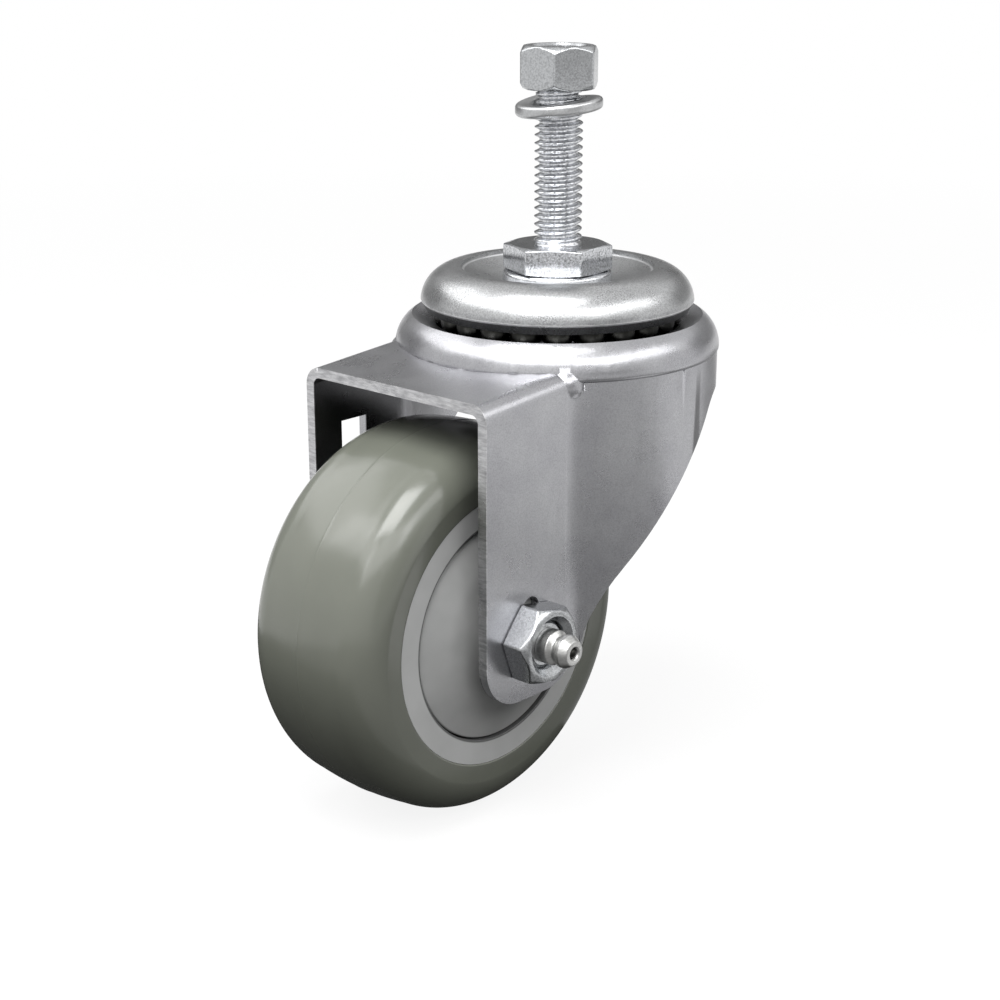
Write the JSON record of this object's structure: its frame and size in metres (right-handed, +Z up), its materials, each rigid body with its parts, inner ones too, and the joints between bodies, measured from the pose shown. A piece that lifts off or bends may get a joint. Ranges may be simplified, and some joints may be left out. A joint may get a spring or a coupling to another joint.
{
  "type": "threaded stem castor",
  "caption": "Swivel castor with a threaded stem, hex nut and split washer, a pressed steel fork with a double ball race, and a grey soft-tread wheel on a greasable axle.",
  "frame": {"origin": "on the stem's axis, at the top face of the wrench hexagon that the stem is screwed up to", "axes": "+Z up the stem, which is the swivel axis; the wheel trails towards -X at rest; +Y along the wheel's axle, towards the axle bolt's head (right), with the grease fitting on the -Y side (left)"},
  "size_m": [0.1052, 0.0672, 0.1447],
  "materials": {
    "zinc_stem": "bright zinc-plated turned steel",
    "zinc_nut": "bright zinc-plated steel nut",
    "zinc_washer": "plated spring steel",
    "zinc_cup": "zinc-plated forged steel, satin",
    "zinc_sheet": "zinc-plated pressed sheet steel with fine grain",
    "zinc_fitting": "plated turned steel",
    "ball_steel": "polished bearing steel",
    "bearing_steel": "ground bearing steel, oiled",
    "shield_steel": "dark pressed steel",
    "guard_plastic": "matte grey moulded plastic",
    "core_plastic": "pale grey moulded plastic",
    "tread_poly": "glossy grey-green polyurethane"
  },
  "bodies": {
    "stem": {"threaded_stem": "zinc_stem", "kingpin": "zinc_stem", "top_cup": "zinc_cup", "lower_cup": "zinc_cup", "stem_lock_nut": "zinc_nut"},
    "washer": {"lock_washer": "zinc_washer"},
    "nut": {"stem_nut": "zinc_nut"},
    "upper_balls": {"upper_balls": "ball_steel"},
    "lower_balls": {"lower_balls": "ball_steel"},
    "fork": {"fork": "zinc_sheet", "axle_bolt": "zinc_nut", "axle_nut": "zinc_nut", "grease_fitting": "zinc_fitting", "fitting_ball": "ball_steel", "axle_sleeve": "bearing_steel", "bearing_spacer": "shield_steel", "inner_ring_left": "bearing_steel", "inner_ring_right": "bearing_steel", "thread_guard_left": "guard_plastic", "thread_guard_right": "guard_plastic"},
    "wheel": {"tread": "tread_poly", "wheel_core": "core_plastic", "outer_ring_left": "bearing_steel", "outer_ring_right": "bearing_steel", "bearing_shield_left": "shield_steel", "bearing_shield_right": "shield_steel"},
    "wheel_balls": {"bearing_balls_left": "ball_steel", "bearing_balls_right": "ball_steel", "ball_cage_left": "shield_steel", "ball_cage_right": "shield_steel"}
  },
  "joints": [
    {"name": "swivel", "type": "hinge", "parent": "stem", "child": "fork", "pos_m": [0, 0, -0.018], "axis": [0, 0, 1], "continuous": true},
    {"name": "wheel_spin", "type": "hinge", "parent": "fork", "child": "wheel", "pos_m": [-0.0345, 0, -0.06825], "axis": [0, 1, 0], "continuous": true},
    {"name": "wheel_balls_roll", "type": "hinge", "parent": "fork", "child": "wheel_balls", "pos_m": [-0.0345, 0, -0.06825], "axis": [0, 1, 0], "continuous": true},
    {"name": "upper_balls_roll", "type": "hinge", "parent": "stem", "child": "upper_balls", "pos_m": [0, 0, -0.014], "axis": [0, 0, 1], "continuous": true},
    {"name": "lower_balls_roll", "type": "hinge", "parent": "stem", "child": "lower_balls", "pos_m": [0, 0, -0.0185], "axis": [0, 0, 1], "continuous": true},
    {"name": "washer_slide", "type": "slide", "parent": "stem", "child": "washer", "axis": [0, 0, 1], "range_m": [-0.0247, 0.0302]},
    {"name": "nut_turn", "type": "hinge", "parent": "washer", "child": "nut", "pos_m": [0, 0, 0.034], "axis": [0, 0, 1], "range_deg": [-5570, 6800]}
  ],
  "couplings": [
    {"joint": "upper_balls_roll", "follows": "swivel", "ratio": 0.5},
    {"joint": "lower_balls_roll", "follows": "swivel", "ratio": 0.5},
    {"joint": "wheel_balls_roll", "follows": "wheel_spin", "ratio": 0.61538},
    {"joint": "washer_slide", "follows": "nut_turn", "m_per_rad": 0.00025266}
  ]
}
